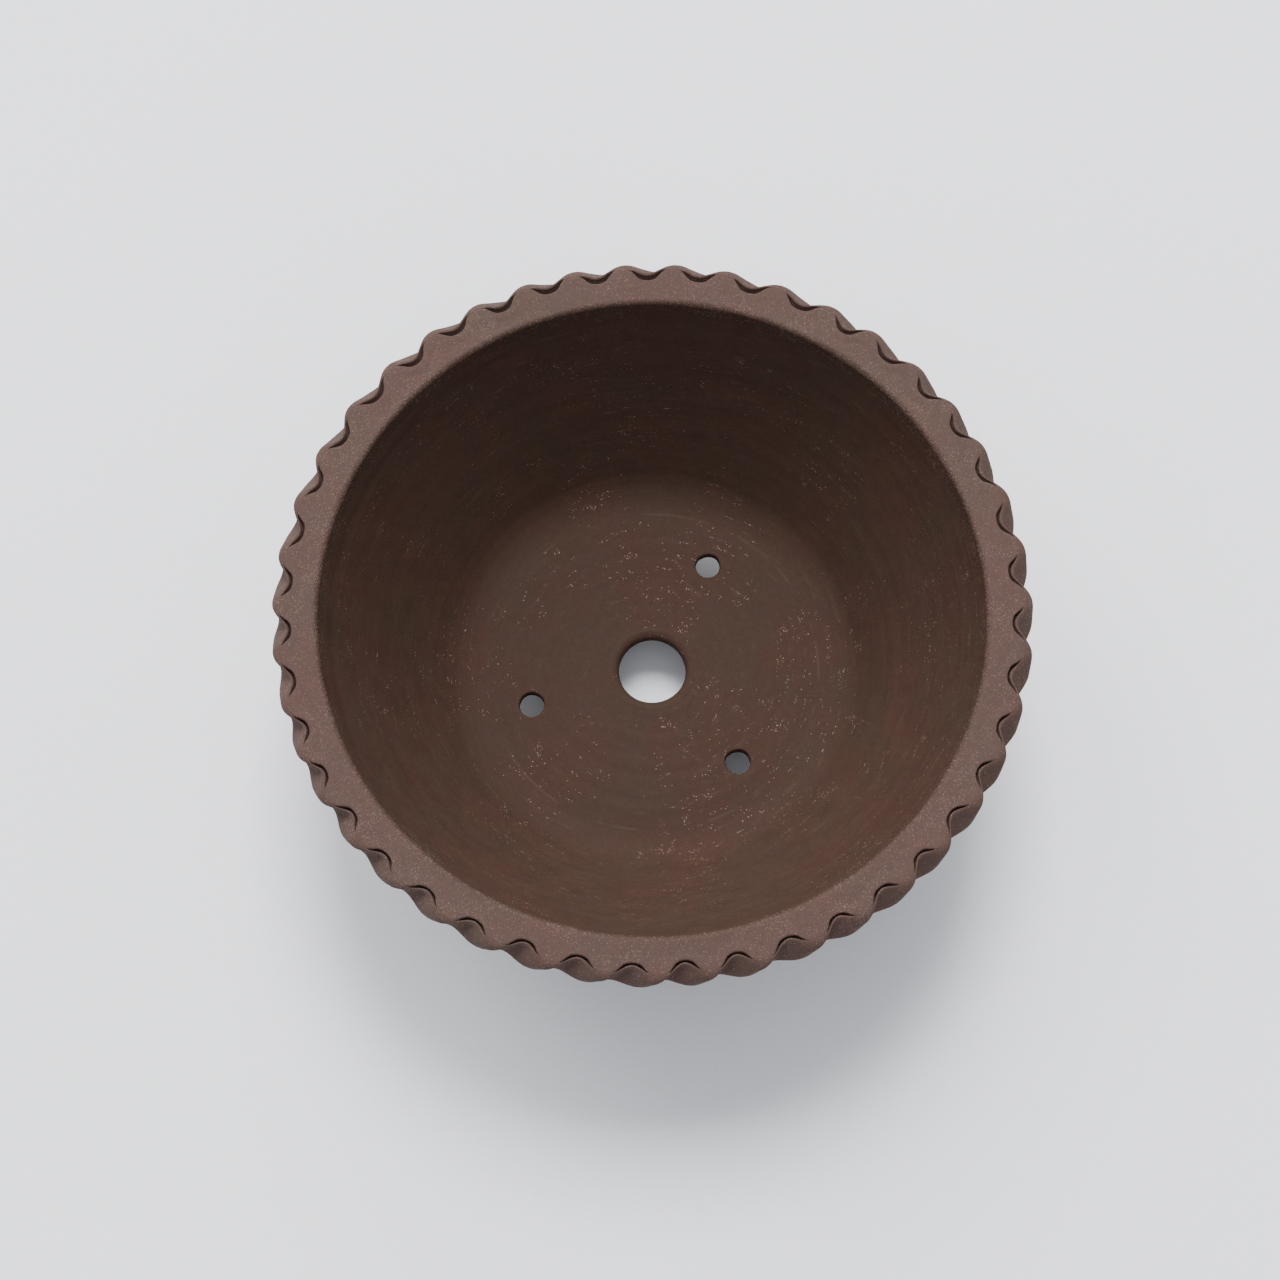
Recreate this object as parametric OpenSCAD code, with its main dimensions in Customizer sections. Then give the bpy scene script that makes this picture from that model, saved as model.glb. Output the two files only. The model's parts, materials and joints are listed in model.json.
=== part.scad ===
// Round unglazed stoneware bonsai pot with a scalloped lip, three low feet,
// one drain hole and three small wire holes in its floor.
// The pot stands upright on z = 0 with its axis on the z axis. Millimetres.
// It is built as a potter lutes it together: a wall set on a floor slab with a
// turned-up edge, a flat lip on the wall's top, a coil round the lip's edge, and
// three feet.

/* [Bowl] */
// Overall width across the crests of the scallops
rim_d = 265; // [254:1:290]
// Overall height, feet included
pot_h = 88; // [78:1:110]
// Width of the mouth between the inner edges of the lip
mouth_d = 231; // [200:1:236]
// Width of the flat part of the floor inside
floor_d = 122; // [114:1:130]
// Thickness of the wall and of the floor slab
clay_t = 7.5; // [6:0.5:9]
// Radius of the curve where the wall leaves the floor
corner_r = 20; // [14:1:24]
// Slope that this curve has reached where the long curve of the wall begins
corner_slope = 48; // [44:1:50]
// Thickness of the wall's toe, where its clay is smoothed onto the floor slab
toe_t = 1.2; // [0.8:0.1:1.4]

/* [Lip and coil] */
// Thickness of the flat lip
lip_t = 5.5; // [4:0.5:8]
// How much the lip narrows the mouth from its underside to its face
lip_lean = 1.2; // [0.5:0.1:2]
// Width of the coil seen beyond the lip's edge
coil_w = 4.2; // [2:0.1:5]
// Step from the lip's face down to the coil
coil_step = 0.7; // [0.3:0.1:1.2]
// Height of the coil
coil_h = 10; // [8:0.5:12]

/* [Scallops] */
// Number of scallops round the rim
scallops = 43; // [30:1:50]
// Depth of each scallop at the lip's face
scallop_depth = 3.4; // [2:0.1:5]
// Radius of the finger marks that make the scallops
scoop_r = 13.6; // [11:0.1:16]
// How far each mark runs outwards as it goes down, in degrees
scoop_lean = 20; // [15:1:25]
// How far each mark leans sideways, like a rope, in degrees
scoop_slant = 14; // [0:1:20]

/* [Drainage] */
// Diameter of the drain hole
drain_d = 24.4; // [18:0.2:30]
// Diameter of the wire holes
wire_d = 9; // [6:0.5:10]
// Eased edge on each end of every hole
hole_ease = 1.5; // [0.5:0.1:2]

/* [Feet] */
// Height of the feet, which is the gap under the floor slab
foot_h = 12; // [8:0.5:14]
// Width of a foot where it meets the bowl
foot_w = 52; // [40:1:60]
// Width of a foot where it stands
foot_base_w = 30; // [24:1:34]

/* [Hidden] */
$fn = 96;

clay = "#5b4238";
clay_dark = "#4d372e";
clay_pale = "#76605a";

rim_r = rim_d / 2;
mouth_r = mouth_d / 2;
floor_r = floor_d / 2;
slab_top = foot_h + clay_t;
wall_top = pot_h - lip_t;
throat_r = mouth_r - lip_lean;  // inside radius at the lip's underside
lip_r = rim_r - coil_w;  // outside radius of the lip at its crests
scoop_axis_r = rim_r - scallop_depth + scoop_r;
pitch = 360 / scallops;
edge_round = 1.6;  // softening of the lip's inner edge

// The parts of a foot's outline follow from its height
root_h = foot_h * 0.42;
lobe_r = foot_h * 0.34;
hollow_r = foot_h * 0.32;
toe_r = foot_h * 0.2;

// Wire holes, made by hand: distance from the axis and direction of each
wire_holes = [[45.5, 63], [46, 197], [47, 311.5]];

// The long curve of the wall is an arc. It leaves the corner's curve at corner_slope
// and ends at the throat, so its radius and centre follow from its chord.
arc_start = [floor_r + corner_r * sin(corner_slope),
             slab_top + corner_r * (1 - cos(corner_slope))];
chord = [throat_r, wall_top] - arc_start;
chord_slope = atan2(chord[1], chord[0]);
throat_slope = 2 * chord_slope - corner_slope;
arc_r = norm(chord) / (2 * sin(chord_slope - corner_slope));
arc_centre = arc_start + arc_r * [-sin(corner_slope), cos(corner_slope)];
corner_centre = [floor_r, slab_top + corner_r];

// The coil covers a straight collar round the top of the wall
coil_low = pot_h - coil_step - coil_h;
collar_slope = acos((arc_centre[1] - coil_low) / (arc_r + clay_t));
collar_r = arc_centre[0] + (arc_r + clay_t) * sin(collar_slope);

// Points of a bowl curve on the radius r about c, from one slope to another
function bowl_arc(c, r, from, to, steps) =
    [for (i = [0:steps]) let (s = from + (to - from) * i / steps)
        c + r * [sin(s), -cos(s)]];

// The wall stands on the slab at this height, and the slab's edge curves up to it
joint_z = slab_top - toe_t;
joint_slope = acos((corner_centre[1] - joint_z) / (corner_r + clay_t));

inner_curve = concat(
    bowl_arc(corner_centre, corner_r, 0, corner_slope, 8),
    bowl_arc(arc_centre, arc_r, corner_slope, throat_slope, 6));
slab_edge = bowl_arc(corner_centre, corner_r + clay_t, 0, joint_slope, 6);
outer_curve = concat(
    bowl_arc(corner_centre, corner_r + clay_t, joint_slope, corner_slope, 2),
    bowl_arc(arc_centre, arc_r + clay_t, corner_slope, collar_slope, 6));

function reversed(v) = [for (i = [len(v) - 1:-1:0]) v[i]];

// A hole through the floor slab with both edges eased
module floor_hole(d) {
    translate([0, 0, foot_h - 1]) cylinder(d = d, h = clay_t + 2);
    translate([0, 0, slab_top - hole_ease])
        cylinder(d1 = d, d2 = d + 4 * hole_ease, h = 2 * hole_ease);
    translate([0, 0, foot_h - hole_ease])
        cylinder(d1 = d + 4 * hole_ease, d2 = d, h = 2 * hole_ease);
}

module floor_slab() {
    color(clay) difference() {
        rotate_extrude() polygon(concat(
            [[0, foot_h]], slab_edge,
            [[floor_r, joint_z], [floor_r, slab_top], [0, slab_top]]));
        floor_hole(drain_d);
        for (w = wire_holes)
            rotate(w[1]) translate([w[0], 0, 0]) floor_hole(wire_d);
    }
}

module wall() {
    color(clay_dark) rotate_extrude()
        polygon(concat(
            inner_curve, [[collar_r, wall_top]], reversed(outer_curve),
            [[floor_r, joint_z]]));
}

// Finger marks all round the rim, as leaning cylinders of the given radius
module scoops(r) {
    for (i = [0:scallops - 1])
        rotate((i + 0.25) * pitch)
            translate([scoop_axis_r, 0, pot_h])
                rotate([scoop_slant, -scoop_lean, 0])
                    cylinder(r = r, h = 4 * coil_h, center = true);
}

// The lip's ring before mirroring. Lip and coil are both mirrored, so that their
// finger marks lean clockwise as they go down.
module unmirrored_lip() {
    difference() {
        rotate_extrude() polygon([
            [throat_r, wall_top], [mouth_r, pot_h - edge_round],
            [mouth_r + edge_round * 0.3, pot_h - edge_round * 0.3],
            [mouth_r + edge_round, pot_h], [lip_r, pot_h], [lip_r, wall_top]]);
        scoops(scoop_r + coil_w);
    }
}

module lip() {
    color(clay_pale) mirror([0, 1, 0]) unmirrored_lip();
}

module rim_coil() {
    color(clay) mirror([0, 1, 0]) difference() {
        rotate_extrude() polygon([
            [collar_r, coil_low], [rim_r - 4, coil_low + 1.4], [rim_r - 1, coil_low + 3.8],
            [rim_r, pot_h - coil_step - 1.6], [rim_r, pot_h - coil_step - 0.6],
            [rim_r - 0.5, pot_h - coil_step], [collar_r, pot_h - coil_step]]);
        rotate_extrude() translate([0, wall_top])
            square([collar_r + 0.01, 2 * lip_t]);
        unmirrored_lip();
        scoops(scoop_r);
    }
}

// A foot's outline as seen from outside: a root with a round lobe at each end,
// a hollow under each lobe and a narrower leg with round toes
module foot_outline() {
    root_z = foot_h - root_h;
    leg_x = foot_base_w / 2;
    lobe_x = foot_w / 2 - lobe_r;
    difference() {
        union() {
            translate([-leg_x, toe_r]) square([2 * leg_x, foot_h]);
            translate([-leg_x + toe_r, 0]) square([2 * (leg_x - toe_r), foot_h]);
            translate([-leg_x - hollow_r, root_z - hollow_r])
                square([2 * (leg_x + hollow_r), hollow_r + lobe_r]);
            translate([-lobe_x, root_z]) square([2 * lobe_x, 2 * foot_h]);
            translate([-foot_w / 2, root_z + lobe_r]) square([foot_w, 2 * foot_h]);
            for (side = [-1, 1]) {
                translate([side * (leg_x - toe_r), toe_r]) circle(toe_r);
                translate([side * lobe_x, root_z + lobe_r]) circle(lobe_r);
            }
        }
        for (side = [-1, 1])
            translate([side * (leg_x + hollow_r), root_z - hollow_r]) circle(hollow_r);
    }
}

// One foot, cut to fit the underside of the bowl
module foot(direction) {
    inner_r = floor_r - 8;
    toe_out = floor_r + 8;
    root_out = floor_r + 11;
    color(clay_dark) rotate(direction) difference() {
        intersection() {
            rotate_extrude() polygon([
                [inner_r + 1.5, 0], [toe_out - 1.5, 0], [toe_out, 1.5],
                [root_out, foot_h * 0.6], [root_out, foot_h + 6],
                [inner_r, foot_h + 6], [inner_r, 1.5]]);
            rotate([90, 0, 90]) linear_extrude(rim_r) foot_outline();
        }
        rotate_extrude() polygon(concat([[0, foot_h]], slab_edge, [[0, pot_h]]));
    }
}

module foot_1() { foot(10); }
module foot_2() { foot(130); }
module foot_3() { foot(250); }

floor_slab();
wall();
lip();
rim_coil();
foot_1();
foot_2();
foot_3();
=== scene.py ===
import json
import math

import bpy
import numpy as np
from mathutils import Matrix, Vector, geometry


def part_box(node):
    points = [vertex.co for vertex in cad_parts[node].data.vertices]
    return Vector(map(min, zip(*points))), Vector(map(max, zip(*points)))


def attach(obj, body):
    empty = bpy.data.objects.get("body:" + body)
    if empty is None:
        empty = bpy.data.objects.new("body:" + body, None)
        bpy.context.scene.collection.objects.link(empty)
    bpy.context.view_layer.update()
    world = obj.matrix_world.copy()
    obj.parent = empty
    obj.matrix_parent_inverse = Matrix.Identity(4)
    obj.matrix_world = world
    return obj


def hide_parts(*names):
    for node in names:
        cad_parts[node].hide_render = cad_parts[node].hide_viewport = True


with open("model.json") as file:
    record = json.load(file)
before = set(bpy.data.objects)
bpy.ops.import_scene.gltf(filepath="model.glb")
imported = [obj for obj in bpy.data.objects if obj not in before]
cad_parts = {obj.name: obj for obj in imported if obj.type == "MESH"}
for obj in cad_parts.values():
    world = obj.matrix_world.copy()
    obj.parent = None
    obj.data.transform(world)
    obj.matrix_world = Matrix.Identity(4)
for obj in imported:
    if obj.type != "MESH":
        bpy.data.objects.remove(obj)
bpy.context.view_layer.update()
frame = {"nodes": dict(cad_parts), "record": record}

# The pot stands upright in the CAD frame. Shapes are worked out in millimetres,
# as arrays, and make_mesh() turns them into metres.
MM = 0.001
TAU = 2 * math.pi

# ---------------------------------------------------------------- sizes
slab_lo, slab_hi = [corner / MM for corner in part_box("floor_slab")]
lip_lo, lip_hi = [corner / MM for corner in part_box("lip")]
coil_lo, coil_hi = [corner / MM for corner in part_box("rim_coil")]
mounts = {m["name"]: m for m in frame["record"]["mounts"]}

RIM_R = min(coil_hi.x, coil_hi.y, -coil_lo.x, -coil_lo.y)
LIP_R = 128.2  # the lip's edge at the crests of its scallops
MOUTH_R = 115.5  # the lip's inner edge
THROAT_R = MOUTH_R - 1.2  # inside radius under the lip
FLOOR_R = 61.0  # the flat part of the floor inside
SLAB_LOW, SLAB_TOP = slab_lo.z, slab_hi.z
WALL_TOP, FACE_Z = lip_lo.z, lip_hi.z
COIL_LOW = coil_lo.z
CLAY_T = SLAB_TOP - SLAB_LOW
DRAIN_R = mounts["drain_hole"]["dims"]["r_mm"]
WIRE_HOLES = [
    (m["pos_m"][0] / MM, m["pos_m"][1] / MM, m["dims"]["r_mm"])
    for name, m in mounts.items()
    if name.startswith("wire_hole")
]

# The wall's two arcs, as in the CAD: a corner curve, then one long curve to the throat.
# It stands on the slab's turned-up edge, and its toe is smoothed onto the slab.
CORNER_R = 20.0
CORNER_SLOPE = math.radians(48)
JOINT_R = slab_hi.x
JOINT_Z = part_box("wall")[0].z / MM


# ---------------------------------------------------------------- small tools
def smooth(x, low, high):
    """0 below low, 1 above high, and a soft step between."""
    t = np.clip((x - low) / (high - low), 0, 1)
    return t * t * (3 - 2 * t)


def relief(shape, size, wave, seed):
    """A seeded random field, periodic both ways, with a spread of 1.
    size is the grid's extent in mm each way and wave the finest wavelength kept."""
    rng = np.random.default_rng(seed)
    fa = np.fft.fftfreq(shape[0], size[0] / shape[0])[:, None] * wave[0]
    fb = np.fft.fftfreq(shape[1], size[1] / shape[1])[None, :] * wave[1]
    keep = np.exp(-0.5 * ((fa * 1.4) ** 2 + (fb * 1.4) ** 2) ** 2)
    keep[0, 0] = 0
    out = np.real(np.fft.ifft2(np.fft.fft2(rng.normal(size=shape)) * keep))
    return out / out.std()


def add_piece(name, mesh, replaced):
    """Puts a mesh in the scene as a piece of the pot, in place of one CAD node."""
    mesh.shade_smooth()
    piece = bpy.data.objects.new(name, mesh)
    bpy.context.scene.collection.objects.link(piece)
    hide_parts(replaced)
    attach(piece, "root")


def make_mesh(name, verts_mm, faces, material, replaced):
    """A piece made of the given points and faces, with its sharp edges kept."""
    mesh = bpy.data.meshes.new(name)
    mesh.from_pydata((np.asarray(verts_mm) * MM).tolist(), [], faces)
    mesh.materials.append(material)
    add_piece(name, mesh, replaced)
    mesh.set_sharp_from_angle(angle=math.radians(50))


def ring_mesh(name, theta, r, z, material, replaced):
    """A closed ring: r and z are grids, one row for each angle and one column for
    each point of the section, which runs anticlockwise with r to the right."""
    n, m = r.shape
    x, y = r * np.cos(theta)[:, None], r * np.sin(theta)[:, None]
    verts = np.stack([x, y, z], -1).reshape(-1, 3)
    i, j = np.meshgrid(np.arange(n), np.arange(m), indexing="ij")
    a, b = i * m + j, i * m + (j + 1) % m
    c, d = ((i + 1) % n) * m + (j + 1) % m, ((i + 1) % n) * m + j
    faces = np.stack([a, d, c, b], -1).reshape(-1, 4).tolist()
    make_mesh(name, verts, faces, material, replaced)


def along(stations, counts):
    """Joins stations, each a pair (r, z) of numbers or columns, by straight runs of
    the given numbers of steps. Returns the pairs, without the last station."""
    rows = []
    for (r0, z0), (r1, z1), n in zip(stations, stations[1:], counts):
        for t in np.arange(n) / n:
            rows.append((r0 + (r1 - r0) * t, z0 + (z1 - z0) * t))
    return rows


def arc(cr, cz, radius, start, end, steps):
    """Points (r, z) on an arc from start to end, in degrees, without the last one."""
    angles = np.radians(start + (end - start) * np.arange(steps) / steps)
    return [(cr + radius * math.cos(a), cz + radius * math.sin(a)) for a in angles]


def grids(rows, n):
    """Turns a list of (r, z), each a number or a column of n, into two grids."""
    r = np.stack([np.broadcast_to(p[0], n) for p in rows], 1).astype(float)
    z = np.stack([np.broadcast_to(p[1], n) for p in rows], 1).astype(float)
    return r, z


# ---------------------------------------------------------------- the scalloped wave
SCALLOPS = 43
STEPS = 24  # mesh steps along one scallop
FIRST_CREST = 0.03  # direction of the first crest, in radians
PITCH_SPREAD = 0.075  # how unevenly a hand spaces the scallops
NOTCH_DEPTH, DEPTH_SPREAD = 3.45, 0.13

rng = np.random.default_rng(7)
pitches = 1 + PITCH_SPREAD * rng.uniform(-1, 1, SCALLOPS)
pitches *= TAU / pitches.sum()
crests = np.concatenate([[0], np.cumsum(pitches)[:-1]]) + FIRST_CREST
notch_depths = NOTCH_DEPTH * (1 + DEPTH_SPREAD * rng.uniform(-1, 1, SCALLOPS))
rim_theta = (crests[:, None] + pitches[:, None] * np.arange(STEPS) / STEPS).ravel()


def scallop_wave(theta):
    """How far into a notch each angle is, from 0 at a crest to 1 at the notch's
    middle, and the depth of that notch."""
    turn = (theta - crests[0]) % TAU
    k = np.searchsorted(crests - crests[0], turn, side="right") - 1
    u = (turn - (crests[k] - crests[0])) / pitches[k]
    return 0.5 - 0.5 * np.cos(TAU * u), notch_depths[k]


def lip_edge(theta):
    """The radius of the lip's wavy edge."""
    wave, depth = scallop_wave(theta)
    return LIP_R - depth * wave**0.8


# ---------------------------------------------------------------- where lip and coil meet
# At a crest the lip rolls over into the coil, so that one surface runs from the face to
# the coil's widest part. At a notch a narrow groove parts the lip from the coil's bead.
ROLL_HIGH = 3.0  # height of that roll
ROLL_POWER = 2.2  # its section is a superellipse
JOINED = 1.3  # how far past the face the lip's clay reaches at a crest
GROOVE_DEEP = 2.5
BEAD_DROP, BEAD_R = 0.45, 0.5  # bead's top below the face, and its rounding
BEAD_OUT, BEAD_MORE = 1.0, 1.55  # from the lip's edge to the bead, and more at the back
BACK = math.radians(100)
COIL_INSIDE = 0.05  # how far the coil's widest part stays inside the CAD rim
RIM_CLEAR = 0.02  # the least that any part of it does
OFF_CENTRE, OFF_TURN = 0.2, 0.9  # how far off centre the coil is, and which way


def parted(theta):
    """0 where the lip rolls into the coil, 1 where the groove parts them."""
    wave, _ = scallop_wave(theta)
    return smooth(wave, -0.05, 0.85)


def bead_spread(theta):
    """How much further out than BEAD_OUT the bead's top is. It is widest at the back."""
    back = (1 + np.cos(theta - BACK)) / 2
    return BEAD_MORE * back**2


def coil_width(theta):
    """The coil's widest radius."""
    return RIM_R - COIL_INSIDE - OFF_CENTRE * (1 - np.cos(theta - OFF_TURN))


def roll_radius(theta, below):
    """The roll's radius at a depth below the face, at a crest."""
    t = (1 - (1 - np.clip(below / ROLL_HIGH, 0, 1)) ** ROLL_POWER) ** (1 / ROLL_POWER)
    return LIP_R + (coil_width(theta) - LIP_R) * t


def roll_depth(theta, out):
    """The roll's depth below the face, this far out from the face's edge."""
    t = out / (coil_width(theta) - LIP_R)
    return ROLL_HIGH * (1 - (1 - t**ROLL_POWER) ** (1 / ROLL_POWER))


# ---------------------------------------------------------------- shader tools
class Graph:
    """Adds shader nodes to a new material and links them."""

    def __init__(self, name):
        self.material = bpy.data.materials.new(name)
        self.material.use_nodes = True
        self.tree = self.material.node_tree
        self.tree.nodes.clear()
        place = self.add("TexCoord").outputs["Object"]
        self.mm = self.add("VectorMath", {0: place, 3: 1 / MM}, operation="SCALE").outputs[0]
        self.x, self.y, self.height = self.add("SeparateXYZ", {0: self.mm}).outputs
        flat = self.add("CombineXYZ", {0: self.x, 1: self.y}).outputs[0]
        self.radius = self.add("VectorMath", {0: flat}, operation="LENGTH").outputs["Value"]

    def add(self, kind, inputs=(), **settings):
        node = self.tree.nodes.new("ShaderNode" + kind)
        for key, value in settings.items():
            setattr(node, key, value)
        for key, value in dict(inputs).items():
            if isinstance(value, bpy.types.NodeSocket):
                self.tree.links.new(value, node.inputs[key])
            else:
                node.inputs[key].default_value = value
        return node

    def math(self, operation, a, b):
        return self.add("Math", {0: a, 1: b}, operation=operation).outputs[0]

    def plus(self, a, b):
        return self.math("ADD", a, b)

    def times(self, a, b):
        return self.math("MULTIPLY", a, b)

    def away(self, value, middle):
        """How far a value is from the middle."""
        off = self.math("SUBTRACT", value, middle)
        return self.add("Math", {0: off}, operation="ABSOLUTE").outputs[0]

    def noise(self, size_mm, detail, roughness=0.5, where=None):
        """Noise from 0 to 1 with features of about this size."""
        inputs = {
            "Vector": where or self.mm,
            "Scale": 1 / size_mm,
            "Detail": detail,
            "Roughness": roughness,
        }
        return self.add("TexNoise", inputs).outputs["Fac"]

    def step(self, value, low, high, bottom=0.0, top=1.0):
        """A soft step: bottom below low, top above high."""
        inputs = {"Value": value, 1: low, 2: high, 3: bottom, 4: top}
        return self.add("MapRange", inputs, interpolation_type="SMOOTHSTEP").outputs[0]

    def mix(self, share, a, b, blend="MIX"):
        node = self.add("Mix", {0: share, 6: a, 7: b}, data_type="RGBA", blend_type=blend)
        return node.outputs[2]

    def shade(self, colour, value):
        """The colour made lighter or darker by a factor."""
        grey = self.add("CombineColor", {0: value, 1: value, 2: value}).outputs[0]
        return self.mix(1.0, colour, grey, "MULTIPLY")

    def around(self, turns, across_mm):
        """Coordinates for marks that run round the pot's axis: turns sets how often
        they change on the way round, across_mm how wide they are."""
        near = self.math("MAXIMUM", self.radius, 1.0)
        cx = self.times(self.math("DIVIDE", self.x, near), turns)
        cy = self.times(self.math("DIVIDE", self.y, near), turns)
        across = self.math("DIVIDE", self.plus(self.radius, self.height), across_mm)
        return self.add("CombineXYZ", {0: cx, 1: cy, 2: across}).outputs[0]

    def specks(self, cell_mm, share, radius):
        """Small grains: 1 on a grain. share of the cells hold one, of this radius in cells."""
        cell = self.add("TexVoronoi", {"Vector": self.mm, "Scale": 1 / cell_mm})
        lot = self.add("SeparateColor", {0: cell.outputs["Color"]}).outputs
        grain = self.times(lot[1], radius)
        inside = self.math("LESS_THAN", cell.outputs["Distance"], grain)
        return self.times(inside, self.math("LESS_THAN", lot[0], share))

    def finish(self, colour, **inputs):
        """Ends the graph in one shader of this colour. Returns the shader."""
        shader = self.add("BsdfPrincipled", {"Base Color": colour, **inputs})
        self.add("OutputMaterial", {"Surface": shader.outputs[0]})
        return shader


# ---------------------------------------------------------------- clay
INSIDE = (0.0405, 0.0210, 0.0143)  # all that is nearer the axis than the mouth's edge
# LIP is the lip's own lighter, greyer clay, with a painted sheen in it: part of its lightness
# stands in for the sheen of the smoother lip
LIP = (0.064, 0.0375, 0.0300)
FOOT = (0.058, 0.034, 0.027)  # seen only in the pale grains of the feet
PALE = (0.105, 0.080, 0.064)  # what a pale grain adds to a clay's colour


def ground_colour(g, base, red):
    """The clay's colour: base beyond the mouth's edge and INSIDE nearer the axis, both
    wandering between a redder and a greener brown."""
    within = g.step(g.radius, MOUTH_R + 2.4, MOUTH_R)
    ground = g.mix(within, (*base, 1.0), (*INSIDE, 1.0))
    redder = g.times(g.step(g.noise(26, 3, 0.55), 0.35, 0.65, -1.0, 1.0), red)
    less_green = g.math("SUBTRACT", 1.0, g.times(redder, 0.6))
    tint = g.add("CombineColor", {0: g.plus(1.0, redder), 1: less_green, 2: 1.0})
    return g.mix(1.0, ground, tint.outputs[0], "MULTIPLY")


def wheel_marks(g):
    """Soft bands and fine lines that run round the pot."""
    wide = g.noise(1, 3, 0.5, g.around(2.0, 7.0))
    fine = g.noise(1, 3, 0.6, g.around(3.5, 1.1))
    return g.plus(g.times(wide, 0.5), g.times(fine, 0.5))


def scuff_dots(g):
    """Pale grains laid bare in short dotted rows and small patches, most of them on
    the floor, with a few stray ones between."""
    rows = g.step(g.noise(1, 2, 0.5, g.around(7.0, 1.3)), 0.60, 0.64)
    patches = g.step(g.noise(6.0, 3, 0.6), 0.60, 0.66)
    marks = g.math("MAXIMUM", rows, patches)
    where = g.times(marks, g.step(g.noise(30, 1), 0.45, 0.55))
    dots = g.times(g.specks(0.55, 0.6, 0.5), where)
    stray = g.specks(3.0, 0.16, 0.08)
    fewer = g.step(g.radius, FLOOR_R + 6, FLOOR_R + 24, 1.0, 0.62)
    return g.times(g.math("MAXIMUM", dots, stray), fewer)


def sand_grains(g):
    """Dense fine sand, crowded along the mouth's edge, and a few bright grains."""
    edge = g.step(g.away(g.radius, MOUTH_R + 0.8), 1.5, 0.2)
    edge = g.times(edge, g.step(g.height, FACE_Z - 4, FACE_Z - 2))
    crowd = g.plus(edge, g.step(g.noise(16, 2), 0.46, 0.64))
    share = g.plus(0.16, g.times(crowd, 0.40))
    fine = g.times(g.specks(0.34, share, 0.6), 0.75)
    bright = g.times(g.specks(1.4, 0.16, 0.13), 1.4)
    return g.math("MAXIMUM", fine, bright)


def clay(name, base, red, grain, streaks=0.0, sand=0.0, scuffs=0.0, specular=0.15):
    """Unglazed stoneware. base is its colour beyond the mouth's edge, and its pale grains
    are a lighter base. red is how far the colour wanders between a redder and a greener
    brown, and the others set how strong each kind of mark is."""
    g = Graph(name)
    cloud = g.noise(9, 4, 0.6)
    grit = g.noise(0.5, 2, 0.6)
    wheel = wheel_marks(g)
    grains = g.math("MAXIMUM", g.times(scuff_dots(g), scuffs), g.times(sand_grains(g), sand))

    # the marks of the wheel are strongest towards the mouth
    reach = g.step(g.radius, FLOOR_R - 1, THROAT_R, 0.35, 1.0)
    swing = g.times(g.step(wheel, 0.36, 0.64, -1.0, 1.0), reach)

    colour = ground_colour(g, base, red)
    colour = g.shade(colour, g.step(cloud, 0.3, 0.7, 0.94, 1.06))
    colour = g.shade(colour, g.plus(1.0, g.times(swing, streaks)))
    colour = g.shade(colour, g.step(g.noise(2.4, 3, 0.65), 0.3, 0.7, 0.95, 1.05))
    colour = g.shade(colour, g.step(grit, 0.3, 0.7, 1 - grain, 1 + grain))

    # pale grains, faint rubbed places, and the faint pale ring where the wall's toe was
    # smoothed onto the slab
    lift = 1 + 0.3 * scuffs
    pale = (*(1.3 * c + lift * more for c, more in zip(base, PALE)), 1.0)
    rub = g.step(g.noise(1, 4, 0.65, g.around(5.0, 3.0)), 0.56, 0.74)
    seam = g.times(g.step(g.away(g.radius, FLOOR_R), 0.8, 0.1), g.step(g.noise(14, 2), 0.45, 0.6))
    colour = g.mix(grains, colour, pale)
    colour = g.mix(g.times(rub, 0.056 * scuffs), colour, pale)
    colour = g.mix(g.times(seam, 0.066 * scuffs), colour, pale)

    height = g.plus(g.times(grit, 0.05), g.times(wheel, 0.10 if streaks else 0.0))
    height = g.plus(height, g.times(grains, 0.03))
    bump = g.add("Bump", {"Strength": 0.7, "Distance": MM, "Height": height})
    roughness = g.step(cloud, 0.2, 0.8, 0.70, 0.85)
    shader = g.finish(colour, Roughness=roughness, Normal=bump.outputs[0])
    shader.inputs["Specular IOR Level"].default_value = specular
    return g.material


inner_clay = clay("clay_inside", INSIDE, red=0.05, grain=0.10, streaks=0.045, scuffs=1.0)
# the lip's base colour LIP is partly painted sheen
lip_clay = clay("clay_lip", LIP, red=0.03, grain=0.10, sand=0.7, specular=0.18)
foot_clay = clay("clay_feet", FOOT, red=0.08, grain=0.10, scuffs=0.3)


# ---------------------------------------------------------------- lip
EDGE = 0.5  # rounding of the lip's wavy edge
MOUTH_EDGE = 2.2  # rounding of the mouth's edge
TIP_THICK, TIP_SINK = 0.9, 0.1  # the roll's tip: its thickness, and how far it dips
HAND_DIP, HAND_SWAY = 0.07, 0.08  # how uneven the face is, in height and sideways


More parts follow.
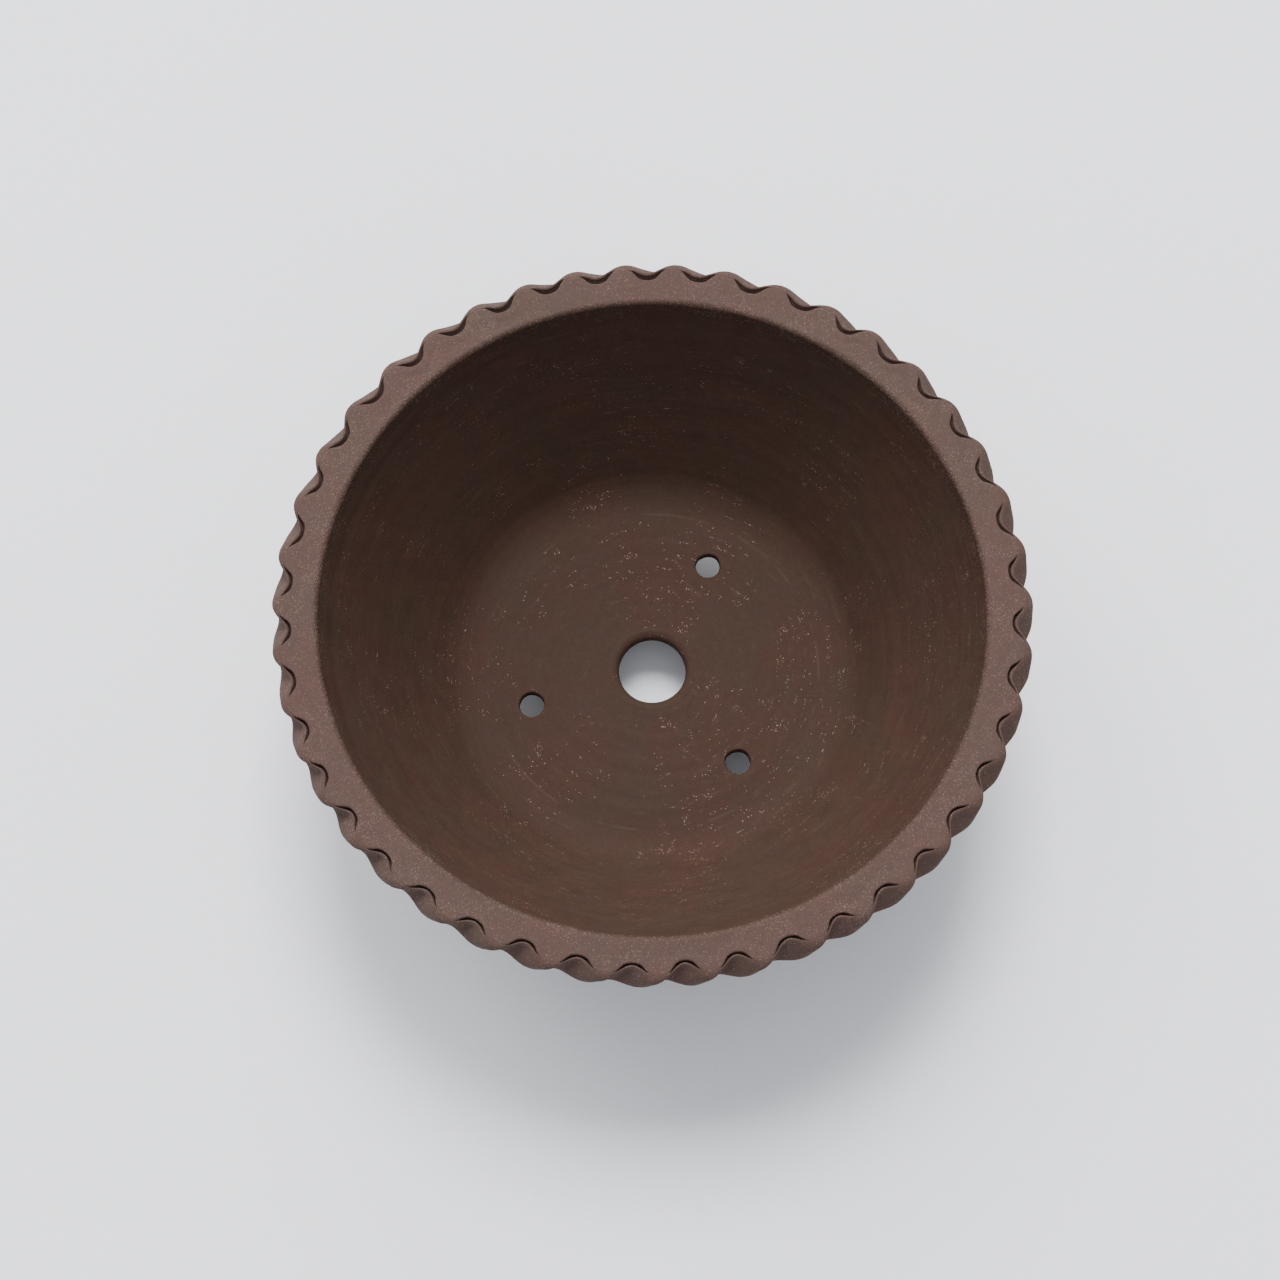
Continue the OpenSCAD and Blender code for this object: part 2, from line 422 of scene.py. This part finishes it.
def lip_piece():
    edge_r = lip_edge(rim_theta)
    open_share = parted(rim_theta)
    rows = along([(THROAT_R, WALL_TOP), (edge_r - 0.3, WALL_TOP)], [8])
    # the edge, from below: at a crest the tip of the roll, at a notch a rounded corner
    rolls = [(JOINED, TIP_THICK * share) for share in (1, 2 / 3, 1 / 3)]
    rolls += [(out, 0) for out in np.linspace(JOINED, 0, 9)]
    turns = [(0, drop) for drop in (2.6, 1.9, 1.2)]
    for a in np.radians(np.linspace(0, 90, 9)):
        turns.append((EDGE * (math.cos(a) - 1), EDGE * (1 - math.sin(a))))
    for (out, lower), (back, drop) in zip(rolls, turns):
        sunk = TIP_SINK * (out / JOINED) ** 3 + lower
        crest_r, crest_z = LIP_R + out, FACE_Z - roll_depth(rim_theta, out) - sunk
        rows.append((crest_r + (edge_r + back - crest_r) * open_share,
                     crest_z + (FACE_Z - drop - crest_z) * open_share))
    last_r = rows.pop()[0]
    rows += along([(last_r, FACE_Z), (MOUTH_R + MOUTH_EDGE, FACE_Z)], [22])
    rows += arc(MOUTH_R + MOUTH_EDGE, FACE_Z - MOUTH_EDGE, MOUTH_EDGE, 90, 180, 8)
    rows += along([(MOUTH_R, FACE_Z - MOUTH_EDGE), (THROAT_R, WALL_TOP)], [5])
    r, z = grids(rows, len(rim_theta))
    # the face is a little uneven, away from its edge
    size = (800, 40)
    edge_share = smooth(r, edge_r[:, None] - 4, edge_r[:, None] - 1)
    flat = smooth(z, FACE_Z - 2, FACE_Z) * (1 - edge_share)
    z -= flat * HAND_DIP * (2 - np.clip(relief(r.shape, size, (30, 12), 3), -2, 2))
    r += flat * HAND_SWAY * relief(r.shape, size, (14, 40), 4)
    ring_mesh("lip_ring", rim_theta, r, z, lip_clay, "lip")


# ---------------------------------------------------------------- coil
SCOOP_STEEP = 1.5  # height of a finger mark's steep part, under the bead
SCOOP_IN, SCOOP_OUT = 0.12, 0.62  # how fast the mark runs outwards there, and below that
SCOOP_TURN = 0.05  # and sideways, in scallops for each mm
NOTCH_INSIDE = 0.35  # a notch stays this far inside the crests' outline
TUCK_FROM, TUCK_POWER = 0.6, 2.2  # share of the height where the coil tucks in, and its curve
# At a crest the section's top lies hidden under the lip's roll: how far out its bead and
# its groove are from LIP_R, the bead's rounding, and the groove's depth below the face
HIDDEN_BEAD, HIDDEN_GROOVE, HIDDEN_BEAD_R, HIDDEN_DEEP = 0.9, 0.5, 0.15, 0.7
BEAD_FATTER, GROOVE_WIDER = 0.2, 0.45  # how bead and groove grow as the bead spreads
APART = 0.1  # least distance between the corners of the section


def coil_outside(theta, z):
    """The radius of the coil's outer surface, with its finger marks."""
    below = FACE_Z - z
    wave, _ = scallop_wave(theta + SCOOP_TURN * (TAU / SCALLOPS) * (below - BEAD_DROP))
    _, depth = scallop_wave(theta)
    past = np.clip((below - BEAD_DROP) / BEAD_R, 0, 1)
    bead = BEAD_R * np.sqrt(1 - (1 - past) ** 2)
    under = np.clip(below - BEAD_DROP - BEAD_R, 0, None)
    lower = np.clip(under - SCOOP_STEEP, 0, None)
    hollow = SCOOP_IN * under + (SCOOP_OUT - SCOOP_IN) * lower
    notch = LIP_R - depth + BEAD_OUT + bead_spread(theta) + bead + hollow
    crest = roll_radius(theta, below)
    notch = np.minimum(notch, crest - NOTCH_INSIDE)
    return crest + (notch - crest) * wave**1.2


def coil_piece(collar_r):
    open_share = parted(rim_theta)
    edge_r = lip_edge(rim_theta)
    spread = bead_spread(rim_theta)

    def between(crest, notch):
        return crest + (notch - crest) * open_share

    # The groove closes up at the crests, under the lip's clay
    bead_z = FACE_Z - between(roll_depth(rim_theta, HIDDEN_BEAD), BEAD_DROP)
    bead_r = coil_outside(rim_theta, bead_z)
    bead = between(HIDDEN_BEAD_R, BEAD_R + BEAD_FATTER * spread)
    low_r = between(LIP_R + HIDDEN_GROOVE, edge_r + APART + GROOVE_WIDER * spread)
    low_r = np.minimum(low_r, bead_r - bead - APART)
    low_z = np.minimum(FACE_Z - between(HIDDEN_DEEP, GROOVE_DEEP), bead_z - bead - APART)
    inner_r = np.minimum(edge_r, low_r) - APART
    rows = along(
        [(collar_r, WALL_TOP), (inner_r, WALL_TOP), (inner_r + APART / 2, low_z),
         (low_r, low_z), (bead_r - bead, bead_z - bead)],
        [3, 4, 2, 5],
    )
    for a in np.radians(np.linspace(180, 90, 7))[:-1]:
        rows.append((bead_r + bead * math.cos(a), bead_z - bead * (1 - math.sin(a))))
    # The outer surface, down to where it tucks in under the coil
    for share in np.linspace(0, 1, 44)[:-1] ** 1.7:
        z = bead_z + (COIL_LOW - bead_z) * share
        tuck = np.clip((share - TUCK_FROM) / (1 - TUCK_FROM), 0, 1)
        outside = coil_outside(rim_theta, z)
        rows.append((outside - (outside - collar_r) * (1 - np.sqrt(1 - tuck**TUCK_POWER)), z))
    rows.append((collar_r, COIL_LOW))
    rows += along([(collar_r, COIL_LOW + 0.5), (collar_r, WALL_TOP)], [3])
    r, z = grids(rows, len(rim_theta))
    r = np.minimum(r, RIM_R - RIM_CLEAR)
    # these rows run clockwise, so they are turned round
    ring_mesh("scalloped_coil", rim_theta, r[:, ::-1], z[:, ::-1], lip_clay, "rim_coil")


# ---------------------------------------------------------------- wall
WALL_STEPS = 600  # mesh steps round the wall
THROWING, UNEVEN = 0.03, 0.18  # relief of the wheel's rings, and of the hand


def bowl_curves():
    """The bowl's inner curve, the slab's edge and the wall's outer curve, from the
    floor up, as lists of points."""
    corner = np.array([FLOOR_R, SLAB_TOP + CORNER_R])
    start = corner + CORNER_R * np.array([math.sin(CORNER_SLOPE), -math.cos(CORNER_SLOPE)])
    chord = np.array([THROAT_R, WALL_TOP]) - start
    slope = math.atan2(chord[1], chord[0])
    radius = np.hypot(*chord) / (2 * math.sin(slope - CORNER_SLOPE))
    centre = start + radius * np.array([-math.sin(CORNER_SLOPE), math.cos(CORNER_SLOPE)])
    joint_slope = math.acos((corner[1] - JOINT_Z) / (CORNER_R + CLAY_T))
    collar_slope = math.acos((centre[1] - COIL_LOW) / (radius + CLAY_T))

    def run(middle, r, first, last, steps):
        slopes = np.linspace(first, last, steps, endpoint=False)
        return [middle + r * np.array([math.sin(a), -math.cos(a)]) for a in slopes]

    top = 2 * slope - CORNER_SLOPE
    inner = run(corner, CORNER_R, 0, CORNER_SLOPE, 20)
    inner += run(centre, radius, CORNER_SLOPE, top, 64) + [np.array([THROAT_R, WALL_TOP])]
    edge = run(corner, CORNER_R + CLAY_T, 0, joint_slope, 14)
    outer = run(corner, CORNER_R + CLAY_T, joint_slope, CORNER_SLOPE, 4)
    outer += run(centre, radius + CLAY_T, CORNER_SLOPE, collar_slope, 44)
    outer += run(centre, radius + CLAY_T, collar_slope, top, 1)
    return inner, edge, outer


def wall_piece(inner, outer):
    theta = TAU * np.arange(WALL_STEPS) / WALL_STEPS
    collar_r = outer[-1][0]
    toe = along([(FLOOR_R, JOINT_Z), tuple(outer[0])], [6])
    collar = [(collar_r, COIL_LOW + 0.6), (collar_r, WALL_TOP), (THROAT_R, WALL_TOP)]
    rows = toe + [tuple(p) for p in outer] + along(collar, [3, 3])
    first = len(rows)
    rows += [tuple(p) for p in inner[::-1]]
    r, z = grids(rows, WALL_STEPS)
    # Marks of the wheel, as real relief: fine rings, and an uneven wall. It fades out
    # where the wall meets the slab, the coil and the lip.
    size = (700, 200)
    throwing = THROWING * relief(r.shape, size, (260, 4.5), 11)
    uneven = UNEVEN * relief(r.shape, size, (120, 45), 12)
    column = np.arange(r.shape[1])
    outer_end = len(toe) + len(outer)
    outside = smooth(column, 6, 14) * (1 - smooth(column, outer_end - 11, outer_end - 2))
    inside = smooth(column, first + 1, first + 6) * (1 - smooth(column, first + 74, first + 84))
    dr, dz = np.gradient(r, axis=1), np.gradient(z, axis=1)
    length = np.maximum(np.hypot(dr, dz), 1e-6)
    push = (throwing + uneven) * (outside + inside)
    r, z = r + push * dz / length, z - push * dr / length
    ring_mesh("bowl_wall", theta, r, z, inner_clay, "wall")


# ---------------------------------------------------------------- floor slab
FLARE_HIGH, FLARE_WIDE = 4.4, 3.4  # cut round each hole's lower end
DRAIN_EASE, WIRE_EASE = 2.0, 0.8  # rounding of the holes' upper edges
DRAIN_DIP = 0.35  # how far the floor dips to the drain hole
HOLE_UNEVEN = 0.05
# The slab's net: rings round each hole at these distances from its edge, with points
# HOLE_STEP apart, then rings round the axis, NET_GAP apart, with points NET_STEP apart
HOLE_OFFSETS = np.array([0, 0.1, 0.25, 0.45, 0.7, 1.0, 1.4, 1.9, 2.5, 3.1])
HOLE_STEP, NET_GAP, NET_STEP = 0.45, 0.9, 1.1
HOLE_CLEAR = 3.3  # how near the rings round the axis come to a wire hole
BELT_STEPS = 480  # mesh steps round the slab's edge


class Hole:
    """A hole through the slab, cut by hand and so a little out of round."""

    def __init__(self, x, y, radius, ease, rng):
        self.x, self.y, self.radius, self.ease = x, y, radius, ease
        self.shape = rng.uniform(-1, 1, (2, 3))

    def edge(self, angle):
        """The hole's radius in each direction."""
        out = self.radius * np.ones_like(angle)
        for lobes, (c, s) in enumerate(self.shape.T, start=2):
            out += HOLE_UNEVEN * (c * np.cos(lobes * angle) + s * np.sin(lobes * angle))
        return out

    def away(self, points):
        """How far each point is from the hole's edge."""
        off = points - [self.x, self.y]
        return np.hypot(*off.T) - self.edge(np.arctan2(off[:, 1], off[:, 0]))

    def rings(self):
        """Rings of points round the hole, closest at its edge. Returns the points and
        how many there are in one ring."""
        count = int(TAU * self.radius / HOLE_STEP)
        angle = TAU * np.arange(count) / count
        points = []
        for off in HOLE_OFFSETS:
            ring = self.edge(angle) + off
            points += list(zip(self.x + ring * np.cos(angle), self.y + ring * np.sin(angle)))
        return points, count


def floor_net(holes):
    """A flat net of points and triangles between the holes and the ring at FLOOR_R.
    Also returns where each hole's edge and that ring start, and their counts."""
    points, rings = [], []
    for hole in holes:
        ring_points, count = hole.rings()
        rings.append((len(points), count))
        points += ring_points
    radii = list(np.arange(DRAIN_R + 4 * NET_GAP, FLOOR_R - 1.2, NET_GAP))
    radii += [FLOOR_R - 0.8, FLOOR_R - 0.4]
    circles = [(radius, int(TAU * radius / NET_STEP), 0.5) for radius in radii]
    circles.append((FLOOR_R, BELT_STEPS, 0.0))
    for radius, count, shift in circles:
        angle = TAU * (np.arange(count) + shift) / count
        for x, y in zip(radius * np.cos(angle), radius * np.sin(angle)):
            if all(math.hypot(x - h.x, y - h.y) > h.radius + HOLE_CLEAR for h in holes[1:]):
                points.append((x, y))
    rings.append((len(points) - BELT_STEPS, BELT_STEPS))

    flat = np.array(points)
    net = geometry.delaunay_2d_cdt([Vector(p) for p in points], [], [], 0, 1e-7)
    where = [v[0] for v in net[3]]
    triangles = np.array([[where[i] for i in f] for f in net[2]])
    # a triangle with all its corners on one hole's edge lies inside that hole
    for first, count in rings[:-1]:
        on_edge = (triangles >= first) & (triangles < first + count)
        triangles = triangles[~on_edge.all(1)]
    a, b, c = (flat[triangles[:, i]] for i in range(3))
    turned = (b - a)[:, 0] * (c - a)[:, 1] - (b - a)[:, 1] * (c - a)[:, 0] < 0
    triangles[turned] = triangles[turned][:, ::-1]
    return flat, triangles, rings


def slab_heights(flat, holes):
    """The heights of the slab's top and underside over the points of the net."""
    r = np.hypot(*flat.T)
    t = np.arctan2(flat[:, 1], flat[:, 0])
    top = np.full(len(flat), SLAB_TOP)
    low = np.full(len(flat), SLAB_LOW)
    # rings left by the wheel, two low rings round the drain hole, and a dip towards it
    for wave, high, lobes in ((3.1, 0.015, 3), (5.3, 0.03, 2), (8.9, 0.05, 1)):
        level = high * (1 - smooth(r, FLOOR_R - 7, FLOOR_R - 1))
        top += level * np.sin(TAU * r / wave + 1.3 * np.sin(lobes * t + wave))
    for off, high, wide in ((2.9, 0.20, 0.8), (5.6, 0.12, 0.9)):
        top += high * np.exp(-(((r - DRAIN_R - off) / wide) ** 2))
    top -= DRAIN_DIP * (1 - smooth(r, DRAIN_R, DRAIN_R + 3))
    for hole in holes:
        off = hole.away(flat)
        near = np.clip(1 - off / hole.ease, 0, 1)
        top -= hole.ease * (1 - np.sqrt(1 - near**2))
        # the underside is cut away towards the hole, so that its rim is thin
        flare = np.clip(1 - off / FLARE_WIDE, 0, 1)
        low += FLARE_HIGH * flare**1.5
    return top, low


def floor_piece(edge):
    """The slab with its holes. One flat net of points makes its top and its underside,
    and rings of points make its turned-up edge."""
    rng = np.random.default_rng(5)
    holes = [Hole(0.0, 0.0, DRAIN_R, DRAIN_EASE, rng)]
    holes += [Hole(x, y, radius, WIRE_EASE, rng) for x, y, radius in WIRE_HOLES]
    flat, triangles, rings = floor_net(holes)
    top, low = slab_heights(flat, holes)
    n = len(flat)
    verts = np.concatenate([np.column_stack([flat, top]), np.column_stack([flat, low])])
    faces = triangles.tolist() + (triangles[:, ::-1] + n).tolist()
    for first, count in rings[:-1]:
        for i in range(count):
            p, q = first + i, first + (i + 1) % count
            faces.append([p, q, q + n, p + n])
    # from the top's last ring down under the wall's toe, then round the edge
    first, count = rings[-1]
    belt = [(FLOOR_R, JOINT_Z), (JOINT_R, JOINT_Z)] + [tuple(p) for p in edge[:0:-1]]
    angle = TAU * np.arange(count) / count
    rows = [np.arange(first, first + count)]
    for ring_r, ring_z in belt:
        rows.append(len(verts) + np.arange(count))
        ring = [ring_r * np.cos(angle), ring_r * np.sin(angle), np.full(count, ring_z)]
        verts = np.concatenate([verts, np.column_stack(ring)])
    rows.append(np.arange(first + n, first + n + count))
    for upper, lower in zip(rows, rows[1:]):
        quads = np.column_stack([upper, lower, np.roll(lower, -1), np.roll(upper, -1)])
        faces += quads.tolist()
    make_mesh("bowl_floor", verts, faces, inner_clay, "floor_slab")


# ---------------------------------------------------------------- feet
FOOT_INTO_BOWL = 2.0  # a foot's top goes into the bowl, so that no gap opens there
FOOT_VOXEL = 0.7
FOOT_SOFT = 6  # passes of smoothing


def foot_piece(node):
    """The CAD foot with its edges softened, as wet clay is by a thumb."""
    mesh = frame["nodes"][node].data.copy()
    for v in mesh.vertices:
        if v.co.z > SLAB_LOW * MM * 0.98:
            v.co.z += FOOT_INTO_BOWL * MM
    mesh.materials.clear()
    mesh.materials.append(foot_clay)
    rough = bpy.data.objects.new("rough_" + node, mesh)
    bpy.context.scene.collection.objects.link(rough)
    remesh = rough.modifiers.new("remesh", "REMESH")
    remesh.mode = "VOXEL"
    remesh.voxel_size = FOOT_VOXEL * MM
    soften = rough.modifiers.new("soften", "SMOOTH")
    soften.iterations = FOOT_SOFT
    soften.factor = 0.6
    graph = bpy.context.evaluated_depsgraph_get()
    solid = bpy.data.meshes.new_from_object(rough.evaluated_get(graph))
    bpy.data.objects.remove(rough)
    for v in solid.vertices:
        v.co.z = max(v.co.z, 0.0)
    add_piece("cloud_" + node, solid, node)


# ---------------------------------------------------------------- build
inner_curve, slab_edge, outer_curve = bowl_curves()
wall_piece(inner_curve, outer_curve)
floor_piece(slab_edge)
lip_piece()
coil_piece(float(outer_curve[-1][0]))
for number in (1, 2, 3):
    foot_piece(f"foot_{number}")


# ---------------------------------------------------------------- floor, light and camera
FLOOR_SIDE = 3.0  # metres from the pot to each edge of the studio floor
LIGHT_FAR = 6.0  # metres from the pot to each softbox
LIGHT_SIDE = 2.4


def stage_floor():
    g = Graph("studio_floor")
    tone = g.step(g.noise(300, 2), 0.3, 0.7, 0.97, 1.0)
    g.finish(g.shade((0.90, 0.91, 0.94, 1.0), tone), Roughness=0.9)
    mesh = bpy.data.meshes.new("studio_floor")
    corners = [(x * FLOOR_SIDE, y * FLOOR_SIDE, 0) for x, y in ((-1, -1), (1, -1), (1, 1), (-1, 1))]
    mesh.from_pydata(corners, [], [(0, 1, 2, 3)])
    mesh.materials.append(g.material)
    floor = bpy.data.objects.new("studio_floor", mesh)
    bpy.context.scene.collection.objects.link(floor)


def softbox(name, turn, climb, power):
    """A square area light that faces the pot, turn degrees round from +X and climb up."""
    light = bpy.data.lights.new(name, "AREA")
    light.size = LIGHT_SIDE
    light.energy = power
    lamp = bpy.data.objects.new(name, light)
    turn, climb = math.radians(turn), math.radians(climb)
    level = math.cos(climb)
    place = Vector((level * math.cos(turn), level * math.sin(turn), math.sin(climb)))
    lamp.location = place * LIGHT_FAR + Vector((0, 0, 0.05))
    lamp.rotation_mode = "QUATERNION"
    lamp.rotation_quaternion = place.to_track_quat("Z", "Y")
    bpy.context.scene.collection.objects.link(lamp)


def studio_light():
    world = bpy.data.worlds.new("studio")
    world.use_nodes = True
    sky = world.node_tree.nodes["Background"]
    sky.inputs["Color"].default_value = (0.93, 0.95, 1.0, 1.0)
    sky.inputs["Strength"].default_value = 0.90
    bpy.context.scene.world = world
    softbox("top_light", turn=90, climb=60, power=480)
    softbox("back_light", turn=90, climb=30, power=135)
    softbox("key_light", turn=140, climb=45, power=90)
    softbox("low_light", turn=135, climb=25, power=90)


CAMERA_CLIMB = math.radians(70.7)
CAMERA_FAR = 8.13  # distance from the middle of the mouth, in multiples of LIP_R


def photo_camera():
    """Looks into the mouth from the -Y side, a little short of straight down."""
    camera = bpy.data.cameras.new("camera")
    camera.lens = 84.8
    camera.sensor_width = 36
    camera.shift_x = -0.0095
    camera.shift_y = -0.0252
    holder = bpy.data.objects.new("camera", camera)
    back = Vector((0, -math.cos(CAMERA_CLIMB), math.sin(CAMERA_CLIMB)))
    holder.location = Vector((0, 0, FACE_Z * MM)) + back * (CAMERA_FAR * LIP_R * MM)
    holder.rotation_mode = "QUATERNION"
    holder.rotation_quaternion = back.to_track_quat("Z", "Y")
    bpy.context.scene.collection.objects.link(holder)
    bpy.context.scene.camera = holder


stage_floor()
studio_light()
photo_camera()
